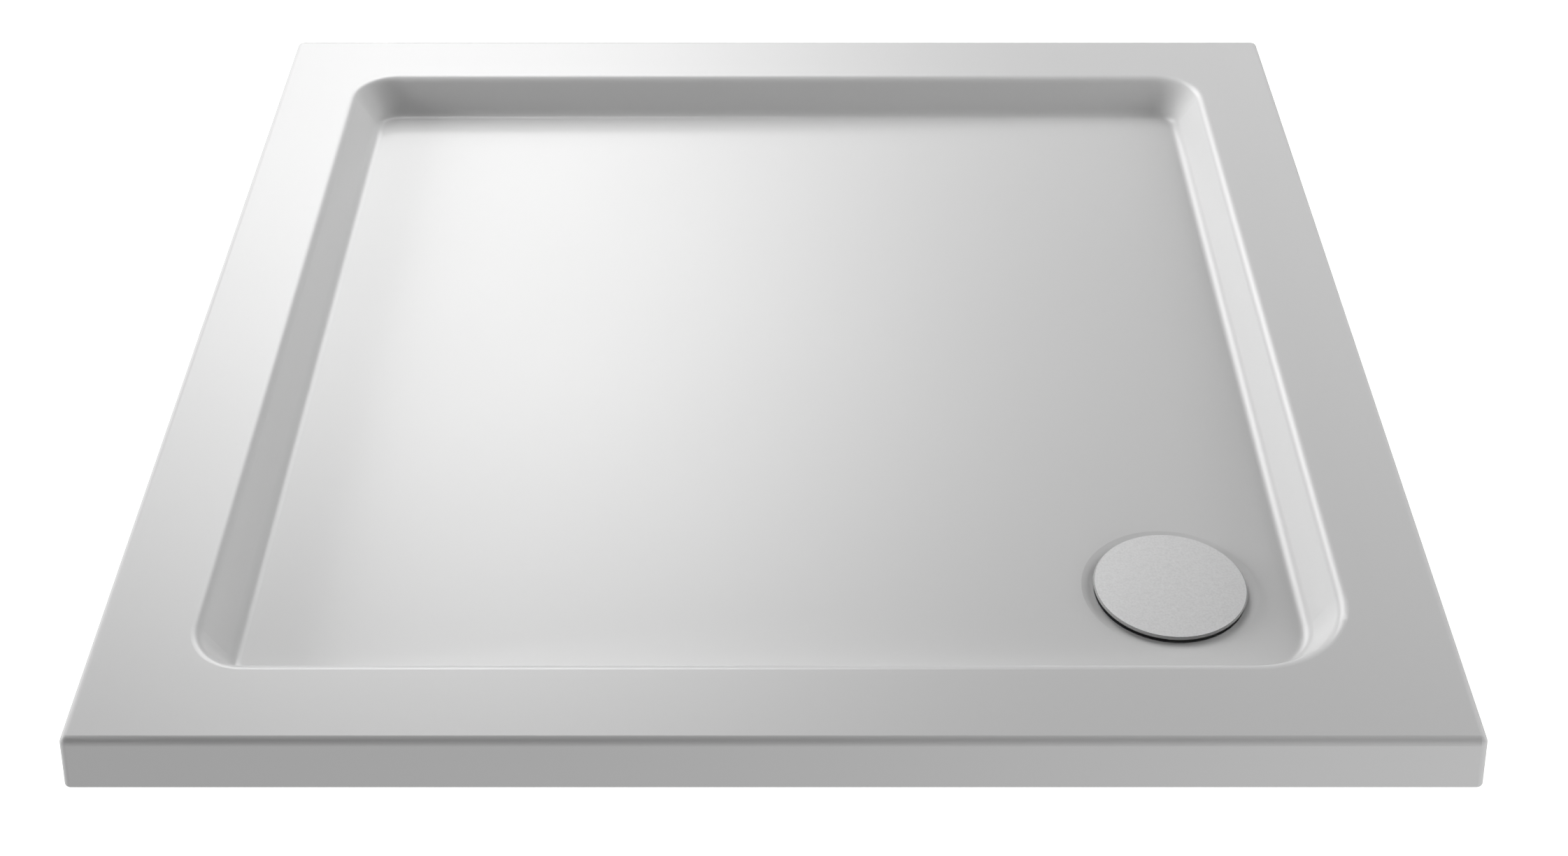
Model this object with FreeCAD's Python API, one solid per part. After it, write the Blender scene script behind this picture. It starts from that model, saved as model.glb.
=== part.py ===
import FreeCAD, Part
import math
import os

# Square low-profile shower tray with a corner waste and trap, in millimetres.
# The origin is the middle of the flat underside. +Z is up, +X is right and -Y is the front,
# so the waste lies in the front right corner and the trap hangs below the underside.

# Tray outside
tray_side = 900.0
tray_height = 40.0
side_lean = 3.3
outer_corner_radius = 5.0
top_edge_radius = 5.0
base_edge_radius = 1.0
skin_thickness = 2.5
skin_lift = 0.4

# Basin
rim_width = 68.0
floor_level = 10.0
basin_wall_angle = 60.0
rim_roll_radius = 9.0
floor_fillet_radius = 10.0
basin_corner_radius = 35.0
waste_corner_radius = 66.0
floor_fall = 1.2
dish_depth = 1.0
dish_slope_width = 8.5

# Waste place and hole in the tray
waste_inset = 176.5
waste_hole_radius = 45.0

# Ribbed underside
floor_pocket_rows = 8
rib_width = 12.0
floor_core_thickness = 2.8
rim_top_thickness = 18.0
rim_outer_wall = 13.0
rim_inner_wall = 15.0
pocket_corner_radius = 8.0
pocket_draft_angle = 10.0
waste_land_width = 27.0

# Waste flange, its seals and its screws
flange_overlap = 7.0
flange_sheet = 1.0
flange_ledge_width = 10.0
flange_ledge_drop = 3.0
upper_seal_thickness = 1.5
lower_seal_thickness = 2.0
seal_edge_margin = 1.0
screw_count = 4
screw_radius = 2.4
screw_length = 16.0
screw_head_radius = 4.0
screw_head_height = 2.4
screw_slot_width = 1.2
screw_slot_depth = 1.3

# Trap body
trap_depth = 66.0
trap_wall = 2.5
trap_seal_width = 13.0
trap_flange_thickness = 4.0
trap_base_radius = 7.0
shelf_drop = 11.0
collar_inset = 3.2
collar_height = 4.0
screw_boss_radius = 4.4
screw_boss_drop = 8.0

# Lift-out insert: dip tube, sealing ring and cup
dip_tube_bore_radius = 15.0
dip_tube_wall = 2.0
insert_lip_width = 1.7
insert_lip_thickness = 1.5
funnel_wall = 3.5
funnel_depth = 10.0
sealing_ring_radius = 1.0
fin_count = 3
fin_thickness = 2.0
cup_wall = 1.8
cup_base_radius = 3.6
cup_base_gap = 1.7
cup_water_gap = 6.0
water_seal_depth = 28.0

# Hair strainer
strainer_wall = 1.5
strainer_depth = 7.5
strainer_slot_rows = 2
strainer_slots_per_row = 12
strainer_slot_width = 2.6
strainer_slot_length = 5.0
strainer_slot_flat = 0.02
strainer_knob_radius = 3.5
strainer_knob_height = 8.0

# Cover
cover_overhang = 1.0
cover_rise = 3.0
cover_crown = 0.6
cover_edge_height = 2.4
cover_bevel = 1.0
cover_sheet = 1.6
cover_lip_width = 2.5
clip_hub_radius = 16.0
clip_thickness = 2.0
clip_leg_count = 4
clip_leg_width = 9.0
clip_brace = 4.0

# Outlet
outlet_drop = 2.5
outlet_bore_radius = 18.0
outlet_socket_radius = 20.5
outlet_socket_depth = 24.0
outlet_wall = 3.5
outlet_reach = 40.0
cone_seat_depth = 3.5
cone_seat_flare = 2.4
cone_seal_body = 3.0
slip_washer_thickness = 1.0
nut_wall = 3.0
nut_length = 22.0
nut_lip_thickness = 3.0
nut_edge_bevel = 1.0
nut_rib_count = 16
nut_rib_height = 1.2
nut_rib_width = 3.0

# Clearances
fit_gap = 0.3
sealing_gap = 0.05
thread_gap = 0.1
recess_gap = 0.5
hole_gap = 1.5
skirt_gap = 1.0
cup_gap = 1.0
cut_overrun = 1.0

# How far an edge may lie from a level or an axis and still be taken as on it
level_tolerance = 0.0001
centre_tolerance = 0.001

# Worked out from the sizes above
top_half = tray_side / 2 - side_lean
basin_depth = tray_height - floor_level
wall_slope = math.tan(math.radians(basin_wall_angle))
wall_sine = math.sin(math.radians(basin_wall_angle))
floor_tangent = floor_fillet_radius * math.tan(math.radians(basin_wall_angle / 2))
floor_half = top_half - rim_width - basin_depth / wall_slope
waste_x = tray_side / 2 - waste_inset
waste_y = -waste_x
flange_radius = waste_hole_radius + flange_overlap
flange_skirt_radius = waste_hole_radius - hole_gap
flange_ledge_radius = flange_skirt_radius - flange_ledge_width
screw_circle_radius = (flange_ledge_radius + flange_skirt_radius - flange_sheet) / 2
flange_recess_radius = flange_radius + recess_gap
dish_radius = flange_recess_radius + dish_slope_width
cover_radius = flange_radius + cover_overhang
trap_flange_radius = waste_hole_radius + trap_seal_width
trap_chamber_radius = flange_skirt_radius + skirt_gap
collar_bore_radius = flange_ledge_radius - collar_inset
insert_lip_radius = collar_bore_radius + insert_lip_width
insert_funnel_radius = collar_bore_radius - fit_gap - funnel_wall
cup_bore_radius = collar_bore_radius - cup_gap - cup_wall
dish_edge_level = floor_level - floor_fall
dish_level = dish_edge_level - dish_depth
flange_seat_level = dish_level - flange_sheet - upper_seal_thickness
floor_pocket_depth = dish_edge_level - skin_thickness - floor_core_thickness
rim_pocket_depth = tray_height - rim_top_thickness
flange_ledge_level = -flange_ledge_drop
cover_top_level = floor_level + cover_rise
trap_top_level = -lower_seal_thickness
trap_base_level = -trap_depth
shelf_level = flange_ledge_level - shelf_drop
collar_top_level = shelf_level + collar_height
insert_lip_top = collar_top_level + fit_gap + insert_lip_thickness
cup_base_level = trap_base_level + trap_wall + cup_base_gap
dip_tube_end_level = cup_base_level + cup_wall + cup_water_gap
cup_rim_level = dip_tube_end_level + water_seal_depth
outlet_level = shelf_level - trap_wall - outlet_drop - outlet_bore_radius
spigot_radius = outlet_socket_radius + outlet_wall
spigot_end = trap_chamber_radius + trap_wall + outlet_reach
nut_radius = spigot_radius + thread_gap + nut_wall
up = FreeCAD.Vector(0, 0, 1)


def vector(x, y, z):
    return FreeCAD.Vector(x, y, z)


def arc_through(centre_x, centre_y, radius, first_angle, last_angle, level):
    """Arc at one level between two angles in radians."""
    points = []
    for share in (0, 0.5, 1):
        angle = first_angle + share * (last_angle - first_angle)
        x = centre_x + radius * math.cos(angle)
        y = centre_y + radius * math.sin(angle)
        points.append(vector(x, y, level))
    return Part.Arc(*points).toShape()


def rounded_outline(half_x, half_y, radii, level, centre_x=0.0, centre_y=0.0):
    """Closed outline whose radii run front left, front right, back right and back left."""
    signs = [(-1, -1), (1, -1), (1, 1), (-1, 1)]
    arcs = []
    for index, (sign_x, sign_y) in enumerate(signs):
        radius = radii[index]
        middle_x = centre_x + sign_x * (half_x - radius)
        middle_y = centre_y + sign_y * (half_y - radius)
        start = math.pi + index * math.pi / 2
        arcs.append(arc_through(middle_x, middle_y, radius, start, start + math.pi / 2, level))
    edges = []
    for index, arc in enumerate(arcs):
        following = arcs[(index + 1) % len(arcs)]
        line = Part.LineSegment(arc.lastVertex().Point, following.firstVertex().Point)
        edges.append(arc)
        edges.append(line.toShape())
    return Part.Wire(edges)


def turned(points, axis_x=waste_x, axis_y=waste_y):
    """Solid of revolution about an upright axis, from (radius, level) points."""
    corners = [vector(axis_x + radius, axis_y, level) for radius, level in points]
    face = Part.Face(Part.makePolygon(corners + corners[:1]))
    return face.revolve(vector(axis_x, axis_y, 0), up, 360)


def ring(inner_radius, outer_radius, low, high):
    """Plain ring about the waste axis."""
    return turned([
        (inner_radius, low),
        (outer_radius, low),
        (outer_radius, high),
        (inner_radius, high),
    ])


def disc(radius, low, high, centre_x=waste_x, centre_y=waste_y):
    """Upright cylinder between two levels."""
    return Part.makeCylinder(radius, high - low, vector(centre_x, centre_y, low), up)


def around_waste(shape, count, first_angle=0.0):
    """Equally spaced copies of a shape about the waste axis."""
    copies = []
    for index in range(count):
        copy = shape.copy()
        copy.rotate(vector(waste_x, waste_y, 0), up, first_angle + index * 360.0 / count)
        copies.append(copy)
    return copies


def lies_at(edge, level):
    """Whether an edge lies wholly at one level."""
    box = edge.BoundBox
    return abs(box.ZMin - level) < level_tolerance and abs(box.ZMax - level) < level_tolerance


def edge_reach(edge):
    """How far an edge goes from the middle of the tray, along X or Y."""
    box = edge.BoundBox
    return max(abs(box.XMin), abs(box.XMax), abs(box.YMin), abs(box.YMax))


def edges_at_level(shape, level, reach):
    """Edges that lie at one level, within a reach of the tray's middle."""
    return [edge for edge in shape.Edges if lies_at(edge, level) and edge_reach(edge) < reach]


def edges_round(shape, centre_x, centre_y, level):
    """Circular edges about an upright axis at one level."""
    chosen = []
    for edge in shape.Edges:
        box = edge.BoundBox
        off_x = abs((box.XMin + box.XMax) / 2 - centre_x)
        off_y = abs((box.YMin + box.YMax) / 2 - centre_y)
        if lies_at(edge, level) and max(off_x, off_y) < centre_tolerance:
            chosen.append(edge)
    return chosen


def outer_block(inset):
    """Leaning outside of the tray, moved inwards by an inset, with its rounded edges."""
    radii = [outer_corner_radius - inset] * 4
    top_level = tray_height - inset
    base_half = tray_side / 2 - inset
    top = rounded_outline(top_half - inset, top_half - inset, radii, top_level)
    low = rounded_outline(base_half, base_half, radii, 0)
    block = Part.makeLoft([low, top], True, True)
    return block.makeFillet(top_edge_radius - inset, edges_at_level(block, top_level, tray_side))


def basin_outline(level, run):
    """Outline of the basin at a level, once it has run inwards from the rim by that much."""
    half = top_half - rim_width - run
    radii = [basin_corner_radius - run] * 4
    radii[1] = waste_corner_radius - run
    return rounded_outline(half, half, radii, level)


def wall_run(level, inset):
    """How far the basin wall has run inwards from the rim at a level, before its fillets."""
    return (tray_height - level) / wall_slope - inset / wall_sine


def basin_space(inset):
    """Space of the basin down to the edge of its floor, with the fillet round the floor."""
    base = floor_level - inset
    top = tray_height + cut_overrun
    outlines = [basin_outline(level, wall_run(level, inset)) for level in (base, top)]
    space = Part.makeLoft(outlines, True, True)
    return space.makeFillet(floor_fillet_radius + inset, edges_at_level(space, base, tray_side))


def fall_space(inset):
    """Shallow space between the level edge of the floor and the edge of the waste dish."""
    run = basin_depth / wall_slope + floor_tangent
    upper = basin_outline(floor_level - inset, run)
    low_level = dish_edge_level - inset
    upper_edges = upper.OrderedEdges
    lower_edges = []
    for edge in upper_edges:
        start = edge.firstVertex(True).Point
        end = edge.lastVertex(True).Point
        first = math.atan2(start.y - waste_y, start.x - waste_x)
        last = math.atan2(end.y - waste_y, end.x - waste_x)
        if last < first:
            last += 2 * math.pi
        lower_edges.append(arc_through(waste_x, waste_y, dish_radius, first, last, low_level))
    faces = [Part.makeRuledSurface(above, below) for above, below in zip(upper_edges, lower_edges)]
    faces.append(Part.Face(upper))
    faces.append(Part.Face(Part.Wire(lower_edges)))
    space = Part.Solid(Part.makeShell(faces))
    space.fix(level_tolerance, level_tolerance, level_tolerance)
    return space


def waste_space(inset):
    """Dish round the cover, recess for the flange and the hole through the tray."""
    edge_level = dish_edge_level - inset
    dish = turned([
        (0, edge_level + cut_overrun),
        (dish_radius + inset, edge_level + cut_overrun),
        (dish_radius + inset, edge_level),
        (flange_recess_radius + inset, dish_level - inset),
        (flange_recess_radius + inset, flange_seat_level - inset),
        (0, flange_seat_level - inset),
    ])
    return dish.fuse(disc(waste_hole_radius, -cut_overrun, floor_level))


def tray_form(inset):
    """Whole tray inside its skin: block less the basin, with the rolled edge round the basin."""
    form = outer_block(inset).cut(basin_space(inset))
    basin_reach = top_half - rim_width / 2
    rolled = edges_at_level(form, tray_height - inset, basin_reach)
    form = form.makeFillet(rim_roll_radius - inset, rolled)
    return form.cut(fall_space(inset)).cut(waste_space(inset))


def pocket(half_x, half_y, depth, centre_x, centre_y):
    """Drafted pocket with round corners, open at the underside."""
    shrink = depth * math.tan(math.radians(pocket_draft_angle))
    radii = [pocket_corner_radius] * 4
    inner_radii = [pocket_corner_radius - min(shrink, pocket_corner_radius / 2)] * 4
    low = rounded_outline(half_x, half_y, radii, 0, centre_x, centre_y)
    top = rounded_outline(half_x - shrink, half_y - shrink, inner_radii, depth, centre_x, centre_y)
    return Part.makeLoft([low, top], True, True)


def floor_pockets():
    """Grid of shallow pockets under the floor, left out round the waste."""
    pitch = 2 * floor_half / floor_pocket_rows
    half = (pitch - rib_width) / 2
    land = waste_hole_radius + waste_land_width
    middles = [(index + 0.5) * pitch - floor_half for index in range(floor_pocket_rows)]
    pockets = []
    for x in middles:
        for y in middles:
            nearest_x = max(abs(x - waste_x) - half, 0)
            nearest_y = max(abs(y - waste_y) - half, 0)
            if math.hypot(nearest_x, nearest_y) > land:
                pockets.append(pocket(half, half, floor_pocket_depth, x, y))
    return pockets


def rim_pockets():
    """Deep pockets under the four sides of the rim, between cross ribs."""
    pitch = 2 * floor_half / floor_pocket_rows
    outer = tray_side / 2 - rim_outer_wall
    inner = floor_half + rim_inner_wall
    half_width = (outer - inner) / 2
    half_length = (pitch - rib_width) / 2
    middle = (outer + inner) / 2
    pockets = []
    for index in range(floor_pocket_rows):
        along = (index + 0.5) * pitch - floor_half
        for across in (-middle, middle):
            pockets.append(pocket(half_length, half_width, rim_pocket_depth, along, across))
            pockets.append(pocket(half_width, half_length, rim_pocket_depth, across, along))
    return pockets


def tray_pieces():
    """Glossy skin and the cast core that fills it."""
    core_form = tray_form(skin_thickness)
    corner = vector(-tray_side, -tray_side, skin_lift - tray_height)
    below_skin = Part.makeBox(2 * tray_side, 2 * tray_side, tray_height, corner)
    skin = tray_form(0).cut(core_form).cut(below_skin)
    outside = tray_side / 2 - skin_thickness / 2
    base_edges = []
    for edge in edges_at_level(skin, skin_lift, tray_side):
        if edge_reach(edge) > outside:
            base_edges.append(edge)
    skin = skin.makeFillet(base_edge_radius, base_edges)
    core = core_form.cut(Part.makeCompound(floor_pockets() + rim_pockets()))
    return skin, core


def waste_flange():
    """Pressed ring that clamps the tray: rim on the seal, skirt down the hole, ledge for screws."""
    skirt_inside = flange_skirt_radius - flange_sheet
    rim_under = dish_level - flange_sheet
    ledge_under = flange_ledge_level - flange_sheet
    flange = turned([
        (flange_skirt_radius, rim_under),
        (flange_radius, rim_under),
        (flange_radius, dish_level),
        (skirt_inside, dish_level),
        (skirt_inside, flange_ledge_level),
        (flange_ledge_radius, flange_ledge_level),
        (flange_ledge_radius, ledge_under),
        (flange_skirt_radius, ledge_under),
    ])
    hole = disc(
        screw_radius + fit_gap,
        ledge_under - cut_overrun,
        flange_ledge_level + cut_overrun,
        waste_x + screw_circle_radius,
    )
    return flange.cut(Part.makeCompound(around_waste(hole, screw_count)))


def upper_seal():
    """Soft ring between the flange and its recess in the tray."""
    inner = waste_hole_radius + seal_edge_margin / 2
    outer = flange_radius - seal_edge_margin
    return ring(inner, outer, flange_seat_level, flange_seat_level + upper_seal_thickness)


def lower_seal():
    """Soft ring between the trap and the underside of the tray."""
    inner = waste_hole_radius + seal_edge_margin
    outer = trap_flange_radius - seal_edge_margin
    return ring(inner, outer, trap_top_level, 0)


def flange_screw():
    """One pan head screw with a cross recess, at the first place of the circle."""
    x = waste_x + screw_circle_radius
    head_top = flange_ledge_level + screw_head_height
    head = disc(screw_head_radius, flange_ledge_level, head_top, x)
    head = head.makeFillet(screw_head_height / 2, edges_round(head, x, waste_y, head_top))
    shank = disc(screw_radius, flange_ledge_level - screw_length, flange_ledge_level, x)
    screw = head.fuse(shank)
    slot_length = screw_head_radius
    corner = vector(-slot_length / 2, -screw_slot_width / 2, 0)
    for turn in (0, 90):
        slot = Part.makeBox(slot_length, screw_slot_width, screw_slot_depth, corner)
        slot.rotate(vector(0, 0, 0), up, turn)
        slot.translate(vector(x, waste_y, head_top - screw_slot_depth))
        screw = screw.cut(slot)
    return screw


def flange_screws():
    """Ring of screws that pull the trap up against the tray."""
    return Part.makeCompound(around_waste(flange_screw(), screw_count))


def along_outlet(points):
    """Solid of revolution about the outlet, from (distance from the waste axis, radius) points."""
    corners = []
    for distance, radius in points:
        corners.append(vector(waste_x + distance, waste_y, outlet_level + radius))
    face = Part.Face(Part.makePolygon(corners + corners[:1]))
    return face.revolve(vector(0, waste_y, outlet_level), vector(1, 0, 0), 360)


def trap_shell():
    """Bowl with its clamping flange and the outlet spigot, before anything is hollowed out."""
    outside = trap_chamber_radius + trap_wall
    bowl = disc(outside, trap_base_level, trap_top_level)
    bowl = bowl.makeFillet(trap_base_radius, edges_round(bowl, waste_x, waste_y, trap_base_level))
    flange_under = trap_top_level - trap_flange_thickness
    flange = ring(trap_chamber_radius, trap_flange_radius, flange_under, trap_top_level)
    spigot = along_outlet([
        (trap_chamber_radius, 0),
        (trap_chamber_radius, spigot_radius),
        (spigot_end, spigot_radius),
        (spigot_end, 0),
    ])
    return bowl.fuse(flange).fuse(spigot)


def water_way():
    """Way out from the chamber: the outlet's bore, its socket and the seat of the cone seal."""
    start = trap_chamber_radius / 2
    socket_start = spigot_end - outlet_socket_depth
    flare_radius = outlet_socket_radius + cone_seat_flare
    return along_outlet([
        (start, 0),
        (start, outlet_bore_radius),
        (socket_start, outlet_bore_radius),
        (socket_start, outlet_socket_radius),
        (spigot_end - cone_seat_depth, outlet_socket_radius),
        (spigot_end, flare_radius),
        (spigot_end + cut_overrun, flare_radius),
        (spigot_end + cut_overrun, 0),
    ])


def trap_body():
    """Trap with its chamber, the shelf and collar that seat the insert, bosses and outlet."""
    chamber_base = trap_base_level + trap_wall
    shelf_base = shelf_level - trap_wall
    screw_x = waste_x + screw_circle_radius
    chamber = disc(trap_chamber_radius, chamber_base, shelf_base)
    base_edge = edges_round(chamber, waste_x, waste_y, chamber_base)
    chamber = chamber.makeFillet(trap_base_radius - trap_wall, base_edge)
    throat = disc(trap_chamber_radius, shelf_level, cut_overrun)
    collar = disc(collar_bore_radius + trap_wall, shelf_base, collar_top_level)
    boss_top = flange_ledge_level - flange_sheet
    boss = disc(screw_boss_radius, shelf_level - screw_boss_drop, boss_top, screw_x)
    pilot_base = flange_ledge_level - screw_length - cut_overrun
    pilot = disc(screw_radius + thread_gap, pilot_base, cut_overrun, screw_x)
    bore = disc(collar_bore_radius, shelf_base - cut_overrun, cut_overrun)
    body = trap_shell().cut(chamber.fuse(throat))
    body = body.fuse(collar).fuse(around_waste(boss, screw_count))
    body = body.cut(water_way()).cut(bore)
    return body.cut(Part.makeCompound(around_waste(pilot, screw_count))).removeSplitter()


def dip_tube():
    """Lift-out tube: lip on the collar, ring groove, funnel, tube and fins that hold the cup."""
    lip_base = collar_top_level + fit_gap
    body_radius = collar_bore_radius - fit_gap
    funnel_base = insert_lip_top - funnel_depth
    tube_outside = dip_tube_bore_radius + dip_tube_wall
    groove_middle = (lip_base + shelf_level) / 2
    groove_half = sealing_ring_radius + sealing_gap
    groove_bottom = collar_bore_radius - 2 * groove_half
    tube = turned([
        (insert_funnel_radius, insert_lip_top),
        (insert_lip_radius, insert_lip_top),
        (insert_lip_radius, lip_base),
        (body_radius, lip_base),
        (body_radius, groove_middle + groove_half),
        (groove_bottom, groove_middle + groove_half),
        (groove_bottom, groove_middle - groove_half),
        (body_radius, groove_middle - groove_half),
        (body_radius, funnel_base - dip_tube_wall),
        (tube_outside, funnel_base - dip_tube_wall),
        (tube_outside, dip_tube_end_level),
        (dip_tube_bore_radius, dip_tube_end_level),
        (dip_tube_bore_radius, funnel_base),
        (insert_funnel_radius, funnel_base),
    ])
    start = dip_tube_bore_radius + dip_tube_wall / 2
    fin_length = cup_bore_radius - fit_gap - start
    fin_height = water_seal_depth + dip_tube_wall
    corner = vector(waste_x + start, waste_y - fin_thickness / 2, dip_tube_end_level)
    fin = Part.makeBox(fin_length, fin_thickness, fin_height, corner)
    return tube.fuse(around_waste(fin, fin_count, 180.0 / fin_count)).removeSplitter()


def sealing_ring():
    """Round-section ring that seals the insert in the collar."""
    level = (collar_top_level + fit_gap + shelf_level) / 2
    ring_radius = collar_bore_radius - sealing_ring_radius - sealing_gap
    return Part.makeTorus(ring_radius, sealing_ring_radius, vector(waste_x, waste_y, level), up)


def trap_cup():
    """Cup that holds the water seal round the end of the dip tube."""
    outside = cup_bore_radius + cup_wall
    inner_base = cup_base_level + cup_wall
    cup = disc(outside, cup_base_level, cup_rim_level)
    cup = cup.makeFillet(cup_base_radius, edges_round(cup, waste_x, waste_y, cup_base_level))
    hollow = disc(cup_bore_radius, inner_base, cup_rim_level + cut_overrun)
    inner_edge = edges_round(hollow, waste_x, waste_y, inner_base)
    hollow = hollow.makeFillet(cup_base_radius - cup_wall, inner_edge)
    return cup.cut(hollow)


def hair_strainer():
    """Lift-out basket with slots in its floor and a finger knob."""
    rim_base = insert_lip_top + fit_gap
    rim_top = rim_base + strainer_wall
    outside = insert_funnel_radius - fit_gap
    inside = outside - strainer_wall
    floor_base = rim_base - strainer_depth
    floor_top = floor_base + strainer_wall
    knob_top = floor_top + strainer_knob_height
    neck = strainer_knob_radius / 2
    basket = turned([
        (0, floor_base),
        (outside, floor_base),
        (outside, rim_base),
        (insert_lip_radius, rim_base),
        (insert_lip_radius, rim_top),
        (inside, rim_top),
        (inside, floor_top),
        (strainer_knob_radius, floor_top),
        (neck, floor_top + strainer_knob_radius),
        (neck, knob_top - strainer_knob_radius),
        (strainer_knob_radius, knob_top - strainer_wall),
        (strainer_knob_radius, knob_top),
        (0, knob_top),
    ])
    slots = []
    row_pitch = (inside - strainer_knob_radius) / strainer_slot_rows
    half_length = strainer_slot_length / 2
    half_width = strainer_slot_width / 2
    radii = [half_width - strainer_slot_flat / 2] * 4
    for row in range(strainer_slot_rows):
        middle = strainer_knob_radius + (row + 0.5) * row_pitch
        outline = rounded_outline(half_length, half_width, radii, 0)
        slot = Part.Face(outline).extrude(vector(0, 0, strainer_wall + 2 * cut_overrun))
        slot.translate(vector(waste_x + middle, waste_y, floor_base - cut_overrun))
        slots += around_waste(slot, strainer_slots_per_row // (strainer_slot_rows - row))
    return basket.cut(Part.makeCompound(slots))


def cover_plate():
    """Round cover with a slight crown, a bevelled edge and a turned-down lip underneath."""
    edge_base = cover_top_level - cover_edge_height
    flat_radius = cover_radius - cover_bevel
    crown_top = cover_top_level + cover_crown
    under_level = cover_top_level - cover_sheet
    lip_radius = cover_radius - cover_lip_width
    corners = [
        (flat_radius, cover_top_level),
        (cover_radius, cover_top_level - cover_bevel),
        (cover_radius - cover_bevel / 2, edge_base),
        (lip_radius, edge_base),
        (lip_radius, under_level),
        (0, under_level),
        (0, crown_top),
    ]
    line = [vector(waste_x + radius, waste_y, level) for radius, level in corners]
    # A flat arc has fallen by a quarter of its height halfway out.
    halfway = vector(waste_x + flat_radius / 2, waste_y, crown_top - cover_crown / 4)
    edges = [Part.Arc(line[-1], halfway, line[0]).toShape()]
    for start, end in zip(line, line[1:]):
        edges.append(Part.LineSegment(start, end).toShape())
    face = Part.Face(Part.Wire(edges))
    return face.revolve(vector(waste_x, waste_y, 0), up, 360)


def cover_clip():
    """Moulded spider under the cover whose legs stand on the flange's ledge."""
    top = cover_top_level - cover_sheet
    base = top - clip_thickness
    reach = flange_skirt_radius - flange_sheet - fit_gap
    leg_inside = reach - clip_thickness
    foot = flange_ledge_level + fit_gap
    section = [
        (0, top),
        (reach, top),
        (reach, foot),
        (leg_inside, foot),
        (leg_inside, base - clip_brace),
        (leg_inside - clip_brace, base),
        (0, base),
    ]
    side_y = waste_y - clip_leg_width / 2
    corners = [vector(waste_x + distance, side_y, level) for distance, level in section]
    leg = Part.Face(Part.makePolygon(corners + corners[:1])).extrude(vector(0, clip_leg_width, 0))
    limit = disc(reach, foot, top)
    turned_legs = around_waste(leg, clip_leg_count, 180.0 / clip_leg_count)
    legs = [turned_leg.common(limit) for turned_leg in turned_legs]
    return disc(clip_hub_radius, base, top).fuse(legs).removeSplitter()


def cone_seal():
    """Tapered rubber ring that grips the waste pipe."""
    tip = spigot_end - cone_seat_depth + fit_gap
    flare = outlet_socket_radius + cone_seat_flare
    return along_outlet([
        (tip, outlet_socket_radius),
        (spigot_end + cone_seal_body, outlet_socket_radius),
        (spigot_end + cone_seal_body, flare),
        (spigot_end + fit_gap, flare),
    ])


def slip_washer():
    """Thin slip ring between the cone seal and the nut."""
    start = spigot_end + cone_seal_body
    end = start + slip_washer_thickness
    return along_outlet([
        (start, outlet_socket_radius),
        (end, outlet_socket_radius),
        (end, spigot_radius),
        (start, spigot_radius),
    ])


def outlet_nut():
    """Hand nut with grip ribs that squeezes the cone seal on to the pipe."""
    lip_start = spigot_end + cone_seal_body + slip_washer_thickness
    end = lip_start + nut_lip_thickness
    start = end - nut_length
    thread_radius = spigot_radius + thread_gap
    nut = along_outlet([
        (start, thread_radius),
        (start, nut_radius),
        (end - nut_edge_bevel, nut_radius),
        (end, nut_radius - nut_edge_bevel),
        (end, outlet_socket_radius),
        (lip_start, outlet_socket_radius),
        (lip_start, thread_radius),
    ])
    # Each rib starts inside the nut's wall, so that the two join.
    rib_root = nut_radius - nut_wall / 3
    rib_length = nut_length - 2 * nut_edge_bevel
    rib_tall = nut_radius + nut_rib_height - rib_root
    corner = vector(waste_x + start, waste_y - nut_rib_width / 2, outlet_level + rib_root)
    ribs = []
    for index in range(nut_rib_count):
        rib = Part.makeBox(rib_length, nut_rib_width, rib_tall, corner)
        middle = vector(waste_x, waste_y, outlet_level)
        rib.rotate(middle, vector(1, 0, 0), index * 360.0 / nut_rib_count)
        ribs.append(rib)
    return nut.fuse(ribs).removeSplitter()


skin, core = tray_pieces()
pieces = {
    "tray_skin": skin,
    "tray_core": core,
    "waste_flange": waste_flange(),
    "upper_seal": upper_seal(),
    "lower_seal": lower_seal(),
    "flange_screws": flange_screws(),
    "trap_body": trap_body(),
    "dip_tube": dip_tube(),
    "sealing_ring": sealing_ring(),
    "trap_cup": trap_cup(),
    "hair_strainer": hair_strainer(),
    "cover_plate": cover_plate(),
    "cover_clip": cover_clip(),
    "cone_seal": cone_seal(),
    "slip_washer": slip_washer(),
    "outlet_nut": outlet_nut(),
}
os.makedirs("parts", exist_ok=True)
for name, shape in pieces.items():
    shape.exportStep("parts/" + name + ".step")
    print(name, "solids", len(shape.Solids), "volume", round(shape.Volume, 1), "valid", shape.isValid())
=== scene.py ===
import math

import bpy
from bpy.props import FloatProperty, FloatVectorProperty, PointerProperty
from mathutils import Matrix, Vector


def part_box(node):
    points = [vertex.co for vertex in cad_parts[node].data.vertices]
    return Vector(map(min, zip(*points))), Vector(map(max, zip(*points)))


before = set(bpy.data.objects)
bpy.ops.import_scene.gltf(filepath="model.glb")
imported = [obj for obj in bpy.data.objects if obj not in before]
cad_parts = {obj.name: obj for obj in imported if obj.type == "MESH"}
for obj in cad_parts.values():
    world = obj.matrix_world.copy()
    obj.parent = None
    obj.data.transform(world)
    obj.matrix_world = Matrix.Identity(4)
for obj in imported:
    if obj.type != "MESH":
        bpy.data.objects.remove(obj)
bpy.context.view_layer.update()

bl_info = {
    "name": "Shower tray",
    "version": (1, 0, 0),
    "blender": (4, 5, 0),
    "location": "View3D > Sidebar > Shower tray",
    "description": "Finishes the pieces of a low shower tray with its waste and trap, and lights them",
    "category": "Object",
}

# The waste stands on this upright line; its metal pieces were turned about it.
flange_low, flange_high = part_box("waste_flange")
WASTE_AXIS = Vector(((flange_low.x + flange_high.x) / 2, (flange_low.y + flange_high.y) / 2, 0))

# The shortest length in metres that the user can set
SHORTEST = 0.00001

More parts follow.
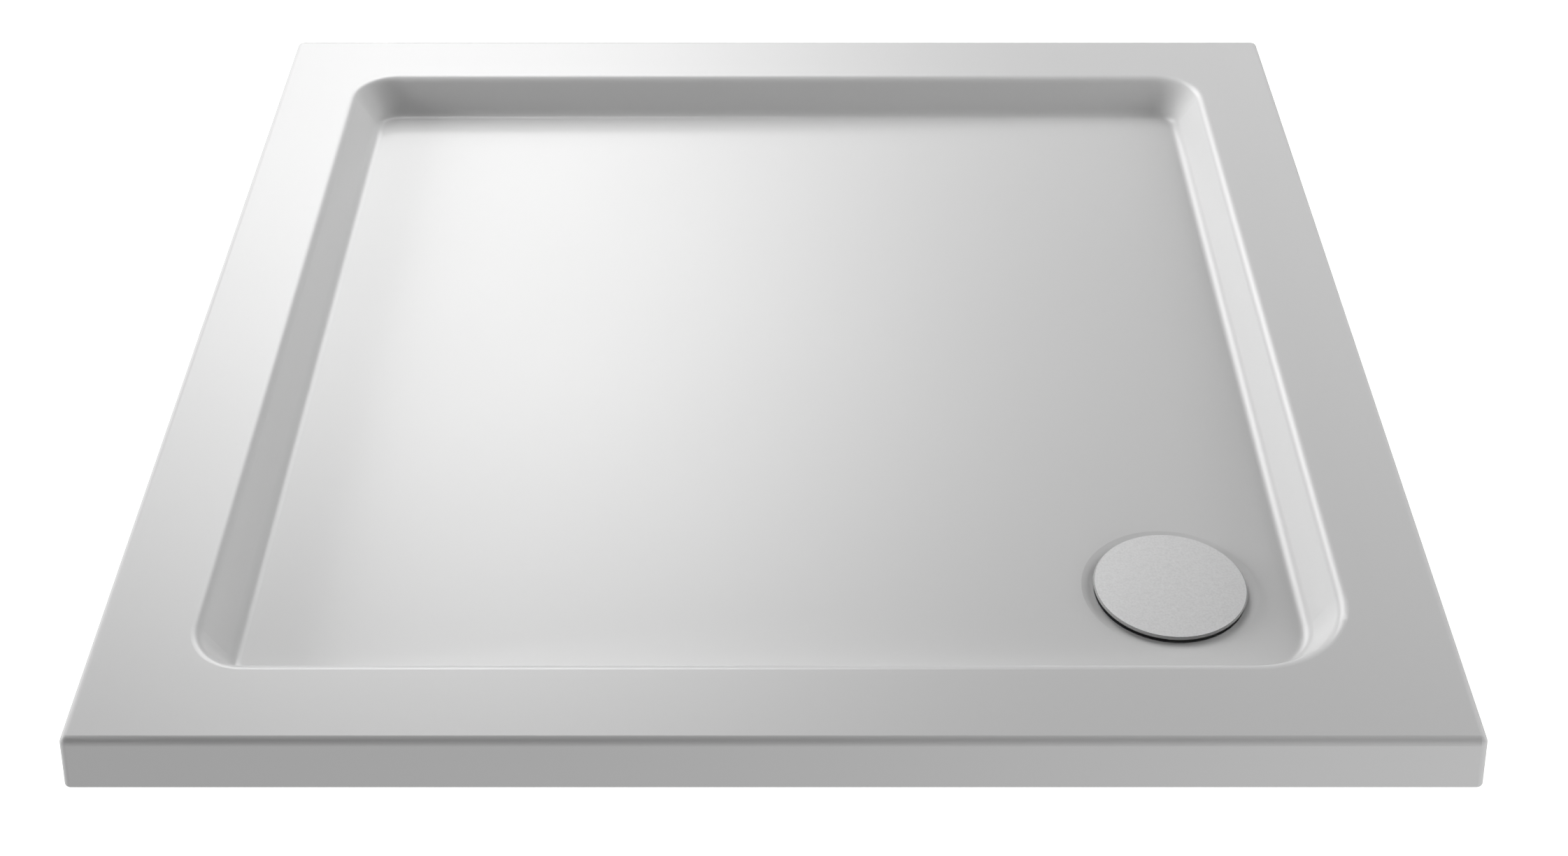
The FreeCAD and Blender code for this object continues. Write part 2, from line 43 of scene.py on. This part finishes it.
# Noise runs from 0 to 1 but seldom leaves this range, which is spread over the whole change.
NOISE_LOW = 0.3
NOISE_HIGH = 0.7

# How strongly acrylic and moulded plastic bend light
PLASTIC_IOR = 1.49

# The upward part of a surface's normal on the cover's turned edge, where its painted shade is darkest,
# and on its face, where the painted shade ends
EDGE_SHADE_LEVEL = 0.75
SHADE_END_LEVEL = 0.98

# Side of the square floor in metres
FLOOR_SIDE = 30
# The floor lies this far below the tray's underside, so that the two don't lie in one plane.
FLOOR_GAP = 0.0002
# It is open round the waste's axis, this far out, where the trap hangs through it.
FLOOR_OPENING = 0.08

# The room turns from its ground to its wall over this much of a direction's upward part.
HORIZON_BLUR = 0.01
# Glossy rays see this share of the ground's glow.
GLOSSY_GROUND = 0.15

# Width of the camera's sensor in millimetres
SENSOR_WIDTH = 36


def colour_setting(name, description, colour):
    """A colour that the user can change, with its default."""
    return FloatVectorProperty(
        name=name, description=description, default=colour, size=3, subtype="COLOR", min=0, max=1
    )


def share_setting(name, description, share):
    """A share from 0 to 1 that the user can change, with its default."""
    return FloatProperty(
        name=name, description=description, default=share, min=0, max=1, subtype="FACTOR"
    )


def length_setting(name, description, metres):
    """A length in metres that the user can change, with its default."""
    return FloatProperty(
        name=name, description=description, default=metres, min=SHORTEST, unit="LENGTH",
        subtype="DISTANCE", precision=5
    )


def place_setting(name, description, place):
    """A place in metres that the user can change, with its default."""
    return FloatVectorProperty(
        name=name, description=description, default=place, size=3, subtype="TRANSLATION"
    )


def power_setting(name, description, watts):
    """A light's power that the user can change, with its default."""
    return FloatProperty(name=name, description=description, default=watts, min=0, unit="POWER")


def glow_setting(name, description, strength):
    """The strength of a glow that the user can change, with its default."""
    return FloatProperty(name=name, description=description, default=strength, min=0)


def angle_setting(name, description, degrees):
    """An angle that the user can change, with its default."""
    return FloatProperty(
        name=name, description=description, default=math.radians(degrees), subtype="ANGLE"
    )


class TrayFinish(bpy.types.PropertyGroup):
    """Colours and surface sizes of the tray's pieces."""

    skin_colour: colour_setting("Skin", "Colour of the gloss skin", (0.8, 0.8, 0.8))
    skin_roughness: share_setting("Skin roughness", "How dull the gloss skin is", 0.3)
    skin_ripple: length_setting("Skin ripple", "Height of the skin's soft ripple", 0.00006)
    core_colour: colour_setting("Core", "Colour of the cast core", (0.55, 0.54, 0.5))
    core_speck: length_setting("Core speck", "Size of the stone grains in the core", 0.0012)
    steel_colour: colour_setting("Steel", "Colour of the pressed steel", (0.6, 0.6, 0.61))
    steel_line: length_setting("Steel line", "Width of the turning lines in the steel", 0.00035)
    rubber_colour: colour_setting("Rubber", "Colour of the seals", (0.03, 0.03, 0.033))
    trap_colour: colour_setting("Trap", "Colour of the trap and its nut", (0.78, 0.78, 0.76))
    insert_colour: colour_setting("Insert", "Colour of the tube, cup and strainer", (0.3, 0.32, 0.35))
    clip_colour: colour_setting("Clip", "Colour of the clip and washer", (0.09, 0.095, 0.1))
    cover_colour: colour_setting("Cover", "Colour of the satin cover", (0.95, 0.95, 0.955))
    cover_roughness: share_setting("Cover roughness", "How dull the satin cover is", 0.46)
    cover_grain: length_setting("Cover grain", "Size of the grain in the satin cover", 0.0016)
    # The cover's edge keeps this share of its colour under its painted shade.
    cover_edge_shade: share_setting("Cover edge", "Share of its colour that the cover's edge keeps", 0.5)


class StudioLight(bpy.types.PropertyGroup):
    """Lights, room, floor and camera of the studio."""

    key_power: power_setting("Key", "Power of the large soft light behind the tray", 108)
    key_place: place_setting("Key place", "Where the key light hangs", (-0.5, 1.6, 1.3))
    key_width: length_setting("Key width", "Side of the key light", 2.4)
    left_power: power_setting("Left", "Power of the low soft light at the left", 39)
    left_place: place_setting("Left place", "Where the left light stands", (-2.2, 0.3, 0.35))
    left_width: length_setting("Left width", "Side of the left light", 1.0)
    right_power: power_setting("Right", "Power of the soft light at the right", 21)
    right_place: place_setting("Right place", "Where the right light hangs", (1.8, 0.4, 0.8))
    right_width: length_setting("Right width", "Side of the right light", 1.4)
    front_power: power_setting("Front", "Power of the low soft light at the front right", 7)
    front_place: place_setting("Front place", "Where the front light stands", (1.3, -1.5, 0.15))
    front_width: length_setting("Front width", "Side of the front light", 0.8)
    ground_glow: glow_setting("Ground", "Brightness of the room below the horizon", 0.72)
    left_glow: glow_setting("Left wall", "Brightness of the room at the far left", 0.36)
    floor_glow: glow_setting("Floor glow", "Light that the floor gives of itself", 0.9)
    floor_colour: colour_setting("Floor", "Colour of the floor", (0.85, 0.85, 0.85))
    camera_lens: FloatProperty(
        name="Lens", description="Focal length of the camera", default=51.739, min=1, unit="CAMERA"
    )
    camera_place: place_setting(
        "Camera place", "Where the camera stands", (0.00721, -1.42444, 1.06734)
    )
    camera_tilt: angle_setting("Camera tilt", "Camera's tilt up from straight down", 51.4844)
    camera_turn: angle_setting("Camera turn", "Camera's turn to the left", 0.0298)
    camera_roll: angle_setting("Camera roll", "Camera's roll about its own view", -0.0247)


def start_material(name):
    """A new node material: the material itself, its node tree and its shader."""
    material = bpy.data.materials.new(name)
    material.use_nodes = True
    tree = material.node_tree
    shader = tree.nodes["Principled BSDF"]
    return material, tree, shader


def add_node(tree, kind, settings=None, values=None):
    """One node, with its settings and the values of its sockets."""
    node = tree.nodes.new(kind)
    for setting, value in (settings or {}).items():
        setattr(node, setting, value)
    for socket, value in (values or {}).items():
        node.inputs[socket].default_value = value
    return node


def own_place(tree, stretch=(1, 1, 1), centre=(0, 0, 0)):
    """The piece's own coordinates in metres, moved to a centre and stretched."""
    coordinates = add_node(tree, "ShaderNodeTexCoord")
    mapping = add_node(
        tree, "ShaderNodeMapping", {"vector_type": "TEXTURE"},
        {"Location": centre, "Scale": stretch}
    )
    tree.links.new(coordinates.outputs["Object"], mapping.inputs["Vector"])
    return mapping.outputs["Vector"]


def noise(tree, place, size, detail=3, roughness=0.5):
    """Noise whose lumps are about as large as size, in metres."""
    made = add_node(
        tree, "ShaderNodeTexNoise", {"noise_dimensions": "3D"},
        {"Scale": 1 / size, "Detail": detail, "Roughness": roughness}
    )
    tree.links.new(place, made.inputs["Vector"])
    return made.outputs["Fac"]


def vary_colour(tree, shader, value, colour, change):
    """The shader's colour goes from a little darker to a little lighter than colour."""
    ramp = add_node(tree, "ShaderNodeValToRGB")
    dark, light = ramp.color_ramp.elements
    dark.position = NOISE_LOW
    light.position = NOISE_HIGH
    dark.color = (*(part * (1 - change) for part in colour), 1)
    light.color = (*(min(1, part * (1 + change)) for part in colour), 1)
    tree.links.new(value, ramp.inputs["Fac"])
    tree.links.new(ramp.outputs["Color"], shader.inputs["Base Color"])


def vary_roughness(tree, shader, value, low, high):
    """The shader's roughness goes from low to high."""
    spread = add_node(
        tree, "ShaderNodeMapRange", {"clamp": True},
        {"From Min": NOISE_LOW, "From Max": NOISE_HIGH, "To Min": low, "To Max": high}
    )
    tree.links.new(value, spread.inputs["Value"])
    tree.links.new(spread.outputs["Result"], shader.inputs["Roughness"])


def raise_bump(tree, shader, value, height):
    """Bumps of about that height, in metres."""
    bump = add_node(tree, "ShaderNodeBump", None, {"Strength": 1, "Distance": height})
    tree.links.new(value, bump.inputs["Height"])
    tree.links.new(bump.outputs["Normal"], shader.inputs["Normal"])


def paint_edge_shade(tree, shader, share):
    """Painted shade: the colour falls to that share of itself where the surface turns down at the
    edge.
    """
    colour = shader.inputs["Base Color"].links[0].from_socket
    own = add_node(tree, "ShaderNodeTexCoord")
    parts = add_node(tree, "ShaderNodeSeparateXYZ")
    kept = add_node(
        tree, "ShaderNodeMapRange", None,
        {"From Min": EDGE_SHADE_LEVEL, "From Max": SHADE_END_LEVEL, "To Min": share, "To Max": 1}
    )
    shaded_colour = add_node(tree, "ShaderNodeVectorMath", {"operation": "SCALE"})
    tree.links.new(own.outputs["Normal"], parts.inputs["Vector"])
    tree.links.new(parts.outputs["Z"], kept.inputs["Value"])
    tree.links.new(colour, shaded_colour.inputs[0])
    tree.links.new(kept.outputs["Result"], shaded_colour.inputs["Scale"])
    tree.links.new(shaded_colour.outputs["Vector"], shader.inputs["Base Color"])


def gloss_white(finish):
    """White gloss skin: very slightly uneven in colour, with a soft ripple as moulded."""
    material, tree, shader = start_material("gloss_white")
    place = own_place(tree)
    shades = noise(tree, place, size=0.3, detail=1)
    dull_patches = noise(tree, place, size=0.2, detail=1)
    ripples = noise(tree, place, size=0.12, detail=1)
    vary_colour(tree, shader, shades, finish.skin_colour, change=0.005)
    vary_roughness(
        tree, shader, dull_patches,
        low=finish.skin_roughness * 0.97, high=finish.skin_roughness * 1.03
    )
    raise_bump(tree, shader, ripples, finish.skin_ripple)
    shader.inputs["IOR"].default_value = PLASTIC_IOR
    shader.inputs["Coat Weight"].default_value = 0.25
    shader.inputs["Coat Roughness"].default_value = 0.06
    return material


def cast_stone(finish):
    """Cast resin and stone powder: pale, dull and finely speckled."""
    material, tree, shader = start_material("cast_stone")
    place = own_place(tree)
    grains = noise(tree, place, finish.core_speck, detail=6, roughness=0.7)
    dull_patches = noise(tree, place, size=0.01)
    vary_colour(tree, shader, grains, finish.core_colour, change=0.12)
    vary_roughness(tree, shader, dull_patches, low=0.55, high=0.75)
    raise_bump(tree, shader, grains, height=0.0001)
    return material


def turned_metal(name, colour, line, roughness):
    """Metal turned about the waste's axis: fine rings that change with the distance from it."""
    material, tree, shader = start_material(name)
    place = own_place(tree, centre=WASTE_AXIS)
    parts = add_node(tree, "ShaderNodeSeparateXYZ")
    flat = add_node(tree, "ShaderNodeCombineXYZ")
    distance = add_node(tree, "ShaderNodeVectorMath", {"operation": "LENGTH"})
    rings = add_node(tree, "ShaderNodeCombineXYZ")
    tree.links.new(place, parts.inputs["Vector"])
    tree.links.new(parts.outputs["X"], flat.inputs["X"])
    tree.links.new(parts.outputs["Y"], flat.inputs["Y"])
    tree.links.new(flat.outputs["Vector"], distance.inputs[0])
    tree.links.new(distance.outputs["Value"], rings.inputs["X"])
    tree.links.new(parts.outputs["Z"], rings.inputs["Y"])
    lines = noise(tree, rings.outputs["Vector"], line, detail=4, roughness=0.6)
    vary_colour(tree, shader, lines, colour, change=0.06)
    vary_roughness(tree, shader, lines, low=roughness * 0.85, high=roughness * 1.2)
    raise_bump(tree, shader, lines, height=0.00001)
    shader.inputs["Metallic"].default_value = 1
    return material


def satin_silver(finish):
    """Satin silver with a fine even grain, and painted shade that darkens its turned edge."""
    material, tree, shader = start_material("satin_silver")
    place = own_place(tree)
    grain = noise(tree, place, finish.cover_grain, roughness=0.6)
    dull_patches = noise(tree, place, finish.cover_grain * 3)
    vary_colour(tree, shader, grain, finish.cover_colour, change=0.09)
    # Painted shade: the colour darkens where the turned edge faces down, which also dims its
    # highlight.
    paint_edge_shade(tree, shader, finish.cover_edge_shade)
    vary_roughness(
        tree, shader, dull_patches,
        low=finish.cover_roughness * 0.9, high=finish.cover_roughness * 1.1
    )
    raise_bump(tree, shader, grain, height=0.00002)
    shader.inputs["Metallic"].default_value = 0.15
    shader.inputs["Specular IOR Level"].default_value = 0.9
    return material


def moulded_plastic(name, colour, roughness):
    """Moulded plastic with a light texture from its mould and faint upright flow marks."""
    material, tree, shader = start_material(name)
    place = own_place(tree)
    flow_marks = noise(tree, own_place(tree, stretch=(1, 1, 0.4)), size=0.02)
    dull_patches = noise(tree, place, size=0.008)
    grain = noise(tree, place, size=0.0006, detail=2)
    vary_colour(tree, shader, flow_marks, colour, change=0.03)
    vary_roughness(tree, shader, dull_patches, low=roughness * 0.9, high=roughness * 1.15)
    raise_bump(tree, shader, grain, height=0.00001)
    shader.inputs["IOR"].default_value = PLASTIC_IOR
    return material


def seal_rubber(finish):
    """Black rubber with a dusty bloom in patches."""
    material, tree, shader = start_material("seal_rubber")
    place = own_place(tree)
    bloom = noise(tree, place, size=0.006, detail=4)
    dull_patches = noise(tree, place, size=0.003)
    grain = noise(tree, place, size=0.0005, detail=2)
    vary_colour(tree, shader, bloom, finish.rubber_colour, change=0.3)
    vary_roughness(tree, shader, dull_patches, low=0.6, high=0.8)
    raise_bump(tree, shader, grain, height=0.00002)
    return material


def put_on(material, *names):
    """Gives CAD nodes their material."""
    for name in names:
        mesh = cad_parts[name].data
        mesh.materials.clear()
        mesh.materials.append(material)


class FinishSkin(bpy.types.Operator):
    """Gives the tray's skin its white gloss"""

    bl_idname = "shower_tray.finish_skin"
    bl_label = "Finish the skin"

    def execute(self, context):
        put_on(gloss_white(context.scene.tray_finish), "tray_skin")
        return {"FINISHED"}


class FinishCore(bpy.types.Operator):
    """Gives the cast core its pale speckled stone"""

    bl_idname = "shower_tray.finish_core"
    bl_label = "Finish the core"

    def execute(self, context):
        put_on(cast_stone(context.scene.tray_finish), "tray_core")
        return {"FINISHED"}


class FinishWaste(bpy.types.Operator):
    """Gives the waste flange and its screws their turned steel"""

    bl_idname = "shower_tray.finish_waste"
    bl_label = "Finish the waste"

    def execute(self, context):
        finish = context.scene.tray_finish
        steel = turned_metal("stainless", finish.steel_colour, finish.steel_line, roughness=0.3)
        put_on(steel, "waste_flange", "flange_screws")
        return {"FINISHED"}


class FinishSeals(bpy.types.Operator):
    """Gives the seals their black rubber"""

    bl_idname = "shower_tray.finish_seals"
    bl_label = "Finish the seals"

    def execute(self, context):
        rubber = seal_rubber(context.scene.tray_finish)
        put_on(rubber, "upper_seal", "lower_seal", "sealing_ring", "cone_seal")
        return {"FINISHED"}


class FinishTrap(bpy.types.Operator):
    """Gives the trap body, its outlet nut and the washer their moulded plastic"""

    bl_idname = "shower_tray.finish_trap"
    bl_label = "Finish the trap"

    def execute(self, context):
        finish = context.scene.tray_finish
        white = moulded_plastic("trap_plastic", finish.trap_colour, roughness=0.4)
        dark = moulded_plastic("washer_plastic", finish.clip_colour, roughness=0.35)
        put_on(white, "trap_body", "outlet_nut")
        put_on(dark, "slip_washer")
        return {"FINISHED"}


class FinishInsert(bpy.types.Operator):
    """Gives the dip tube, the cup and the hair strainer their moulded plastic"""

    bl_idname = "shower_tray.finish_insert"
    bl_label = "Finish the insert"

    def execute(self, context):
        finish = context.scene.tray_finish
        grey = moulded_plastic("insert_plastic", finish.insert_colour, roughness=0.38)
        put_on(grey, "dip_tube", "trap_cup", "hair_strainer")
        return {"FINISHED"}


class FinishCover(bpy.types.Operator):
    """Gives the round cover its satin silver and its clip a dark plastic"""

    bl_idname = "shower_tray.finish_cover"
    bl_label = "Finish the cover"

    def execute(self, context):
        finish = context.scene.tray_finish
        silver = satin_silver(finish)
        dark = moulded_plastic("clip_plastic", finish.clip_colour, roughness=0.4)
        put_on(silver, "cover_plate")
        put_on(dark, "cover_clip")
        return {"FINISHED"}


def soft_light(name, place, width, power, target, mirrored=False):
    """A square soft light at a place, turned to a target; gloss mirrors it only where asked."""
    light = bpy.data.lights.new(name, "AREA")
    light.shape = "SQUARE"
    light.size = width
    light.energy = power
    lamp = bpy.data.objects.new(name, light)
    lamp.location = place
    lamp.rotation_euler = (Vector(target) - Vector(place)).to_track_quat("-Z", "Y").to_euler()
    lamp.visible_camera = False
    lamp.visible_glossy = mirrored
    bpy.context.scene.collection.objects.link(lamp)
    return lamp


def fade_to_edge(lamp):
    """The light is strongest in the middle of its square and fades out towards its edge."""
    # The place on the light runs from 0 to 1 both ways, so its middle is at a half.
    half = 0.5
    lamp.data.use_nodes = True
    tree = lamp.data.node_tree
    place = add_node(tree, "ShaderNodeNewGeometry")
    from_middle = add_node(tree, "ShaderNodeVectorMath", {"operation": "DISTANCE"})
    from_middle.inputs[1].default_value = (half, half, 0)
    fade = add_node(
        tree, "ShaderNodeMapRange", {"interpolation_type": "SMOOTHSTEP"},
        {"From Min": half, "From Max": 0, "To Min": 0, "To Max": 1}
    )
    tree.links.new(place.outputs["Parametric"], from_middle.inputs[0])
    tree.links.new(from_middle.outputs["Value"], fade.inputs["Value"])
    tree.links.new(fade.outputs["Result"], tree.nodes["Emission"].inputs["Strength"])


def floor_material(studio):
    """Pale floor with a glow of its own, clear from below and open round the waste's axis."""
    material, tree, shader = start_material("floor")
    shader.inputs["Base Color"].default_value = (*studio.floor_colour, 1)
    shader.inputs["Roughness"].default_value = 1
    shader.inputs["Specular IOR Level"].default_value = 0
    shader.inputs["Emission Color"].default_value = (1, 1, 1, 1)
    shader.inputs["Emission Strength"].default_value = studio.floor_glow
    point = add_node(tree, "ShaderNodeNewGeometry")
    from_waste = add_node(tree, "ShaderNodeVectorMath", {"operation": "DISTANCE"})
    from_waste.inputs[1].default_value = WASTE_AXIS
    opening = add_node(tree, "ShaderNodeMath", {"operation": "LESS_THAN"})
    opening.inputs[1].default_value = FLOOR_OPENING
    unseen = add_node(tree, "ShaderNodeMath", {"operation": "MAXIMUM"})
    clear = add_node(tree, "ShaderNodeBsdfTransparent")
    either = add_node(tree, "ShaderNodeMixShader")
    output = tree.nodes["Material Output"]
    tree.links.new(point.outputs["Position"], from_waste.inputs[0])
    tree.links.new(from_waste.outputs["Value"], opening.inputs[0])
    tree.links.new(opening.outputs["Value"], unseen.inputs[0])
    tree.links.new(point.outputs["Backfacing"], unseen.inputs[1])
    tree.links.new(unseen.outputs["Value"], either.inputs["Fac"])
    tree.links.new(shader.outputs["BSDF"], either.inputs[1])
    tree.links.new(clear.outputs["BSDF"], either.inputs[2])
    tree.links.new(either.outputs["Shader"], output.inputs["Surface"])
    return material


def studio_floor(studio):
    """A plain floor just below the tray's underside, which only the camera sees."""
    bpy.ops.object.select_all(action="DESELECT")
    bpy.ops.mesh.primitive_plane_add(size=FLOOR_SIDE, location=(0, 0, -FLOOR_GAP))
    floor = bpy.context.active_object
    floor.name = "studio_floor"
    floor.visible_diffuse = False
    floor.visible_glossy = False
    floor.visible_shadow = False
    floor.data.materials.append(floor_material(studio))


def studio_room(studio):
    """A room that is bright below the horizon and towards the left, and dark elsewhere."""
    world = bpy.data.worlds.new("room")
    world.use_nodes = True
    tree = world.node_tree
    direction = add_node(tree, "ShaderNodeTexCoord")
    parts = add_node(tree, "ShaderNodeSeparateXYZ")
    wall = add_node(
        tree, "ShaderNodeMapRange", None,
        {"From Min": -1, "From Max": 0, "To Min": studio.left_glow, "To Max": 0}
    )
    # Glossy rays see a dim ground, which draws the thin dark line along the tray's edges.
    ray = add_node(tree, "ShaderNodeLightPath")
    ground = add_node(
        tree, "ShaderNodeMapRange", None,
        {"To Min": studio.ground_glow, "To Max": studio.ground_glow * GLOSSY_GROUND}
    )
    room = add_node(
        tree, "ShaderNodeMapRange", None, {"From Min": -HORIZON_BLUR, "From Max": HORIZON_BLUR}
    )
    background = tree.nodes["Background"]
    background.inputs["Color"].default_value = (1, 1, 1, 1)
    tree.links.new(direction.outputs["Generated"], parts.inputs["Vector"])
    tree.links.new(parts.outputs["X"], wall.inputs["Value"])
    tree.links.new(parts.outputs["Z"], room.inputs["Value"])
    tree.links.new(ray.outputs["Is Glossy Ray"], ground.inputs["Value"])
    tree.links.new(ground.outputs["Result"], room.inputs["To Min"])
    tree.links.new(wall.outputs["Result"], room.inputs["To Max"])
    tree.links.new(room.outputs["Result"], background.inputs["Strength"])
    bpy.context.scene.world = world


def studio_camera(studio):
    """The camera, in front of the tray and looking down on it."""
    camera = bpy.data.cameras.new("camera")
    camera.lens = studio.camera_lens
    camera.sensor_width = SENSOR_WIDTH
    stand = bpy.data.objects.new("camera", camera)
    stand.location = studio.camera_place
    turned = (
        Matrix.Rotation(studio.camera_turn, 3, "Z")
        @ Matrix.Rotation(studio.camera_tilt, 3, "X")
        @ Matrix.Rotation(studio.camera_roll, 3, "Z")
    )
    stand.rotation_euler = turned.to_euler()
    bpy.context.scene.collection.objects.link(stand)
    bpy.context.scene.camera = stand


class SetStudio(bpy.types.Operator):
    """Sets up the floor, the soft lights, the room and the camera"""

    bl_idname = "shower_tray.set_studio"
    bl_label = "Set up the studio"

    def execute(self, context):
        studio = context.scene.studio_light
        studio_floor(studio)
        tray = (0, 0, 0)
        key = soft_light(
            "key_light", studio.key_place, studio.key_width, studio.key_power, tray, mirrored=True
        )
        fade_to_edge(key)
        soft_light("left_light", studio.left_place, studio.left_width, studio.left_power, tray)
        soft_light("right_light", studio.right_place, studio.right_width, studio.right_power, tray)
        soft_light("front_light", studio.front_place, studio.front_width, studio.front_power, tray)
        studio_room(studio)
        context.scene.view_settings.view_transform = "Standard"
        context.scene.view_settings.look = "None"
        studio_camera(studio)
        return {"FINISHED"}


OPERATORS = (
    FinishSkin,
    FinishCore,
    FinishWaste,
    FinishSeals,
    FinishTrap,
    FinishInsert,
    FinishCover,
    SetStudio,
)


class ShowerTrayPanel(bpy.types.Panel):
    """Settings and steps of the shower tray"""

    bl_idname = "VIEW3D_PT_shower_tray"
    bl_label = "Shower tray"
    bl_space_type = "VIEW_3D"
    bl_region_type = "UI"
    bl_category = "Shower tray"

    def draw(self, context):
        for settings in (context.scene.tray_finish, context.scene.studio_light):
            box = self.layout.box()
            for setting in settings.__annotations__:
                box.prop(settings, setting)
        for operator in OPERATORS:
            self.layout.operator(operator.bl_idname)


CLASSES = (TrayFinish, StudioLight, *OPERATORS, ShowerTrayPanel)


def register():
    """Makes the classes and their settings known to Blender."""
    for each in CLASSES:
        bpy.utils.register_class(each)
    bpy.types.Scene.tray_finish = PointerProperty(type=TrayFinish)
    bpy.types.Scene.studio_light = PointerProperty(type=StudioLight)


def unregister():
    """Takes the settings and the classes away again."""
    del bpy.types.Scene.studio_light
    del bpy.types.Scene.tray_finish
    for each in reversed(CLASSES):
        bpy.utils.unregister_class(each)


def main():
    """Runs every step in order."""
    register()
    bpy.ops.shower_tray.finish_skin()
    bpy.ops.shower_tray.finish_core()
    bpy.ops.shower_tray.finish_waste()
    bpy.ops.shower_tray.finish_seals()
    bpy.ops.shower_tray.finish_trap()
    bpy.ops.shower_tray.finish_insert()
    bpy.ops.shower_tray.finish_cover()
    bpy.ops.shower_tray.set_studio()


if __name__ == "__main__":
    main()
